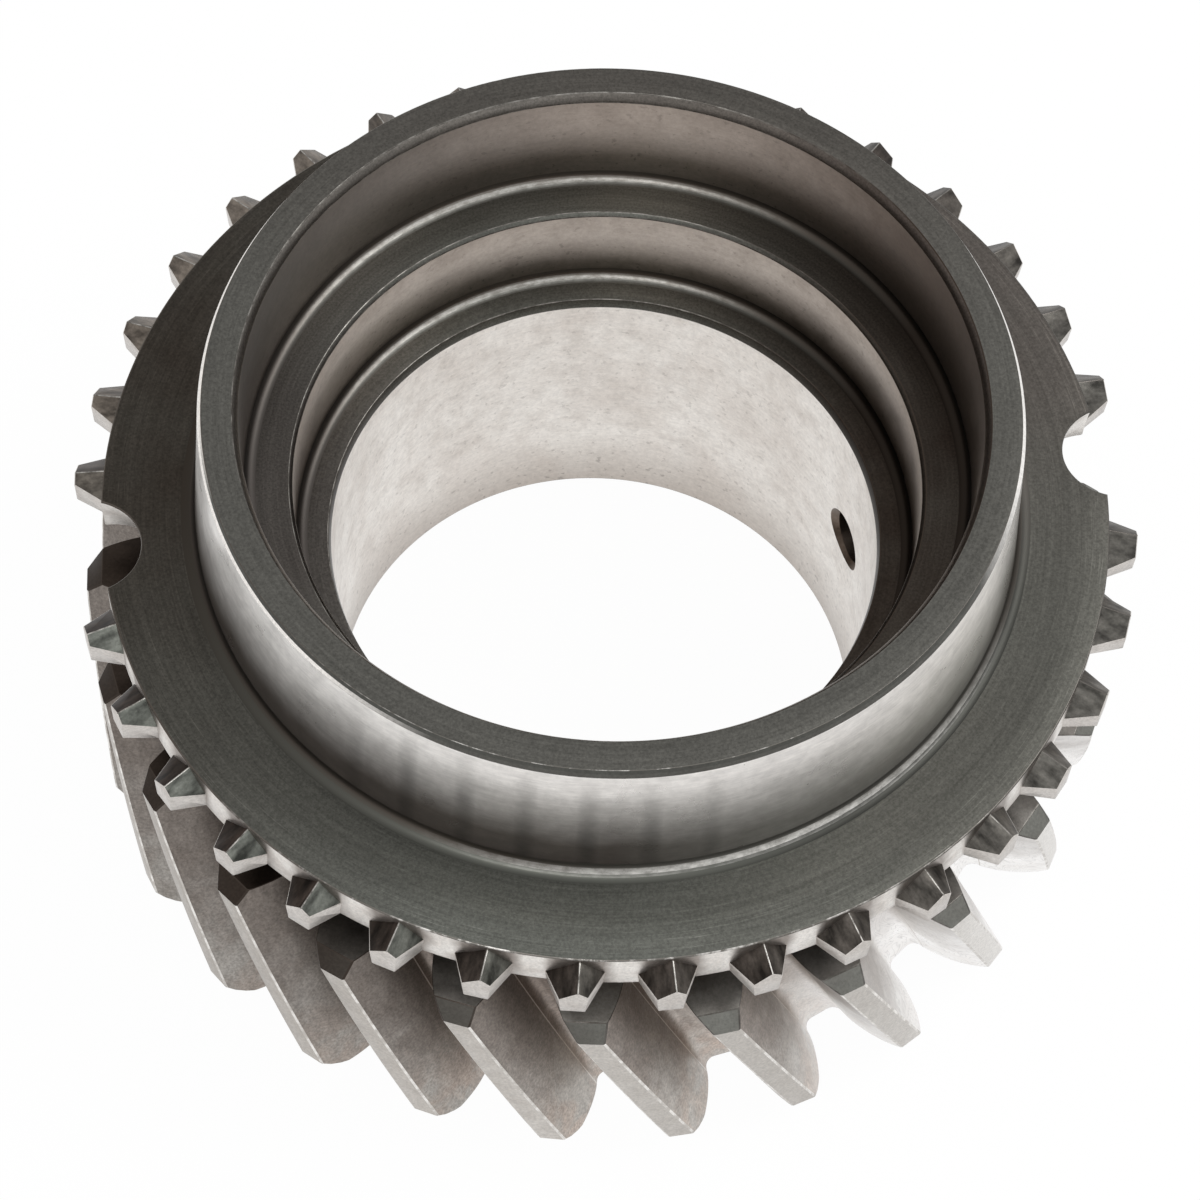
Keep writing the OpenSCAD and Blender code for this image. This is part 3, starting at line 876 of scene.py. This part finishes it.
def materials():
    """One material for each finish. Azimuths are in degrees from +X, anticlockwise from above. The (azimuth,
    low, high, colour) lists paint light and shade on one side.
    """
    # left: side of the painted shade; right: side of the painted light
    left, right = 200, -5
    # painted shade by side: at the left of the flange and cone fillet, at the right of the shoulders and bore
    # fillets
    painted_shade_left = [(165, 0.0, 0.95, srgb(50, 45, 40)), (40, 0.5, 0.95, srgb(84, 79, 75))]
    painted_shade_right = [(0, 0.0, 0.85, srgb(46, 39, 34)), (190, 0.4, 1.0, srgb(68, 64, 61))]
    painted_fillet_shade = [(0, 0.0, 0.85, srgb(36, 31, 27)), (190, 0.4, 1.0, srgb(74, 70, 67))]
    # painted highlight on the collar's lip
    lip_gleam = (22, 0.66, 0.86, srgb(244, 241, 237))
    return {
        "turned": turned_steel("turned", srgb(84, 85, 80)),
        # rim, flange, shoulder and lead: painted shade by side
        "rim": turned_steel("rim", srgb(86, 85, 81), [(90, 0.2, 0.9, srgb(80, 77, 73))]),
        "flange": turned_steel(
            "flange", srgb(96, 97, 92), painted_shade_left + [(330, 0.6, 1.0, srgb(87, 86, 81))], 0.6),
        "shoulder": turned_steel("shoulder", srgb(94, 94, 89), painted_shade_right),
        "lead": turned_steel("lead", srgb(112, 108, 103), [(0, -0.2, 0.7, srgb(74, 66, 61))]),
        # lip and lip_top: painted highlights by side
        "lip": plain_steel(
            "lip", srgb(92, 91, 87), srgb(76, 74, 71), [lip_gleam, (188, 0.5, 0.75, srgb(240, 236, 231))]),
        "lip_top": plain_steel(
            "lip_top", srgb(84, 84, 80), srgb(70, 68, 65),
            [lip_gleam, (163, 0.8, 0.92, srgb(235, 230, 224))]),
        # cone: the dark foot colour is a painted reflection; its side lists are painted light and shade
        "cone": cone_steel(
            "cone", srgb(242, 238, 234), srgb(84, 77, 72),
            [(15, 0.8, 0.98, srgb(172, 170, 166)), (200, 0.5, 1.0, srgb(250, 247, 243))],
            [(315, 0.75, 0.95, srgb(130, 128, 122))]),
        # recess, step and honed: painted shade toward each wall's foot, and by side in the recess
        "recess": ground_steel(
            "recess", srgb(174, 163, 154), srgb(150, 138, 129), 0.3, 0.33,
            (srgb(124, 115, 108), SHOULDER_Z - 0.5, SHOULDER_Z + 8),
            [(20, 0.5, 1.0, srgb(100, 88, 80)), (165, 0.35, 1.0, srgb(100, 95, 91))]),
        "step": ground_steel(
            "step", srgb(182, 172, 163), srgb(155, 143, 134), 0.3, 0.33,
            (srgb(116, 106, 98), STEP_Z - 0.5, STEP_Z + 6)),
        "honed": ground_steel(
            "honed", srgb(236, 231, 225), srgb(202, 191, 182), 0.42, 0.34,
            (srgb(168, 157, 147), -2.0, 8.5)),
        "flank": hobbed_steel("flank", srgb(180, 175, 169), srgb(152, 141, 133)),
        # foot: thin bright line at the flank's foot, partly painted highlight
        "foot": edge_wear_and_highlight("foot", srgb(215, 210, 204), srgb(170, 162, 155), 0.3, 0.5),
        "root": hobbed_steel("root", srgb(188, 181, 174), srgb(150, 135, 125)),
        # land: painted light at the right, painted shade at the left and front
        "land": plain_steel(
            "land", srgb(202, 197, 191), srgb(176, 169, 162),
            [(-28, 0.8, 1.0, srgb(226, 223, 219)), (215, 0.6, 1.0, srgb(178, 172, 165)),
             (292, 0.9, 1.0, srgb(188, 183, 177))]),
        # end_face: painted light at the front, where the clutch ring shades the faces, and painted shade at
        # the left
        "end_face": plain_steel(
            "end_face", srgb(104, 101, 97), srgb(58, 50, 45),
            [(256, 0.78, 0.97, srgb(172, 169, 163)), (left, 0.2, 0.85, srgb(50, 43, 38))]),
        # chamfer: painted shade at the left
        "chamfer": plain_steel(
            "chamfer", srgb(118, 118, 113), srgb(96, 92, 88), [(left, 0.1, 0.8, srgb(54, 47, 42))]),
        # roofs: painted light and shade by side
        "long_roof": plain_steel(
            "long_roof", srgb(62, 57, 53), srgb(46, 39, 35),
            [(left, 0.2, 0.85, srgb(45, 38, 34)), (right, 0.45, 0.9, srgb(84, 82, 78)),
             (145, 0.8, 0.98, srgb(94, 87, 80))], streaks=1.0),
        "short_roof": plain_steel(
            "short_roof", srgb(68, 64, 60), srgb(54, 49, 46),
            [(222, 0.6, 0.95, srgb(90, 92, 87)), (145, 0.6, 0.95, srgb(96, 89, 82)),
             (right, 0.5, 0.9, srgb(82, 79, 75))], streaks=1.0),
        "dog_side": plain_steel("dog_side", srgb(205, 200, 195), srgb(178, 170, 163)),
        # strip: painted shade beside each dog tooth
        "strip": plain_steel("strip", srgb(228, 224, 219), srgb(184, 172, 163), painted_corner_shade=0.85),
        "groove": plain_steel("groove", srgb(130, 122, 115), srgb(95, 85, 77)),
        # edge, brim, line, ridge and mouth: bright dashes are partly painted highlight; their side lists are
        # painted shade
        "edge": edge_wear_and_highlight("edge", srgb(240, 237, 233), srgb(192, 187, 181), 0.42, 0.62),
        "brim": edge_wear_and_highlight(
            "brim", srgb(196, 193, 189), srgb(108, 105, 100), 0.5, 0.64,
            [(180, 0.3, 0.8, srgb(80, 74, 68)), (20, 0.0, 0.6, srgb(86, 83, 79))]),
        "line": edge_wear_and_highlight(
            "line", srgb(118, 116, 112), srgb(78, 75, 71), 0.4, 0.68, [(left, 0.1, 0.6, srgb(60, 53, 48))]),
        "ridge": edge_wear_and_highlight(
            "ridge", srgb(172, 169, 164), srgb(88, 85, 81), 0.4, 0.58, [(10, 0.4, 0.9, srgb(92, 88, 84))]),
        "mouth": edge_wear_and_highlight(
            "mouth", srgb(140, 137, 132), srgb(84, 81, 77), 0.42, 0.66, [(0, 0.1, 0.8, srgb(60, 52, 46))]),
        # fillets: painted highlight (gleam) and painted shade by side
        "fillet": fillet_steel(
            "fillet", srgb(104, 97, 90), srgb(176, 175, 170), srgb(94, 94, 89), 0.8, (109, 0.6, 1.0),
            painted_fillet_shade, painted_fillet_shade),
        "cone_fillet": fillet_steel(
            "cone_fillet", srgb(86, 80, 74), srgb(228, 226, 221), srgb(86, 87, 82), 0.66, (296, 0.62, 1.0),
            [(305, 0.7, 0.95, srgb(116, 114, 109)), (195, 0.6, 1.0, srgb(58, 52, 47))],
            painted_shade_left + [(325, 0.75, 0.95, srgb(57, 57, 54))]),
        "hole": plain_steel("hole", srgb(118, 106, 97), srgb(84, 74, 67)),
    }


def background_rays(tree):
    """1 on rays that show the background: those of the camera, of reflections and of clear materials."""
    path = tree.nodes.new("ShaderNodeLightPath")
    total = path.outputs["Is Camera Ray"]
    for name in ("Is Glossy Ray", "Is Transmission Ray"):
        either = tree.nodes.new("ShaderNodeMath")
        either.operation = "MAXIMUM"
        tree.links.new(total, either.inputs[0])
        tree.links.new(path.outputs[name], either.inputs[1])
        total = either.outputs[0]
    return total


def floor():
    """Plain pale floor that keeps the object's shadow."""
    half = 3000
    white_share = 0.97
    corners = [(-half, -half, 0), (half, -half, 0), (half, half, 0), (-half, half, 0)]
    obj = mesh_object("floor", corners, [(0, 1, 2, 3)], [0])
    material = bpy.data.materials.new("floor")
    material.use_nodes = True
    tree = material.node_tree
    shader = tree.nodes["Principled BSDF"]
    shader.inputs["Base Color"].default_value = (0.93, 0.93, 0.93, 1)
    shader.inputs["Roughness"].default_value = 0.9
    white = tree.nodes.new("ShaderNodeEmission")
    white.inputs["Color"].default_value = (1, 1, 1, 1)
    white.inputs["Strength"].default_value = 1.0
    share = tree.nodes.new("ShaderNodeMath")
    share.operation = "MULTIPLY"
    share.inputs[1].default_value = white_share
    tree.links.new(background_rays(tree), share.inputs[0])
    mix = tree.nodes.new("ShaderNodeMixShader")
    tree.links.new(share.outputs[0], mix.inputs["Fac"])
    tree.links.new(shader.outputs[0], mix.inputs[1])
    tree.links.new(white.outputs[0], mix.inputs[2])
    tree.links.new(mix.outputs[0], tree.nodes["Material Output"].inputs["Surface"])
    obj.data.materials.append(material)


def world():
    """White surroundings for the camera and for reflections, and a lower level for soft light."""
    soft_level = 0.75
    made = bpy.data.worlds.new("studio")
    bpy.context.scene.world = made
    made.use_nodes = True
    tree = made.node_tree
    back = tree.nodes["Background"]
    level = tree.nodes.new("ShaderNodeMapRange")
    tree.links.new(background_rays(tree), level.inputs["Value"])
    level.inputs["To Min"].default_value = soft_level
    level.inputs["To Max"].default_value = 1.0
    tree.links.new(level.outputs["Result"], back.inputs["Strength"])
    back.inputs["Color"].default_value = (1, 1, 1, 1)


def placed(name, data, place, aim, roll=0.0):
    """An object that looks from place at aim, turned by roll about that line."""
    obj = bpy.data.objects.new(name, data)
    obj.location = place
    obj.rotation_mode = "QUATERNION"
    facing = (Vector(aim) - Vector(place)).to_track_quat("-Z", "Y")
    obj.rotation_quaternion = facing @ Quaternion((0, 0, 1), roll)
    bpy.context.scene.collection.objects.link(obj)
    return obj


def lamp(name, place, size, power):
    """Round lamp that shines at the middle of the gear."""
    light = bpy.data.lights.new(name, "AREA")
    light.shape, light.size, light.energy = "DISK", size, power
    placed(name, light, place, (0, 0, 0.02))


def camera():
    """The photograph's viewpoint: high in front, turned a little about its own axis."""
    data = bpy.data.cameras.new("camera")
    data.sensor_width, data.lens = 36, 119.54
    data.clip_start, data.clip_end = 0.01, 20
    eye, target = Vector((-0.57, -163.29, 314.59)) * MM, Vector((-0.05, -3.57, 25.0)) * MM
    bpy.context.scene.camera = placed("camera", data, eye, target, math.radians(3.535))


scene = bpy.context.scene
scene.view_settings.view_transform = "Standard"
camera()
world()
lamp("key", (0.55, 0.1, 0.7), 0.5, 3.0)
lamp("front", (-0.12, -0.5, 0.8), 0.3, 1.2)
floor()

piece = gear()
finishes = materials()
while len(piece.data.materials) < len(FINISHES):
    piece.data.materials.append(None)
for name, slot in SLOT.items():
    piece.data.materials[slot] = finishes[name]
for polygon in piece.data.polygons:
    polygon.use_smooth = True
piece.data.set_sharp_from_angle(angle=SHARP)
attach(piece, "root")
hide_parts("gear")
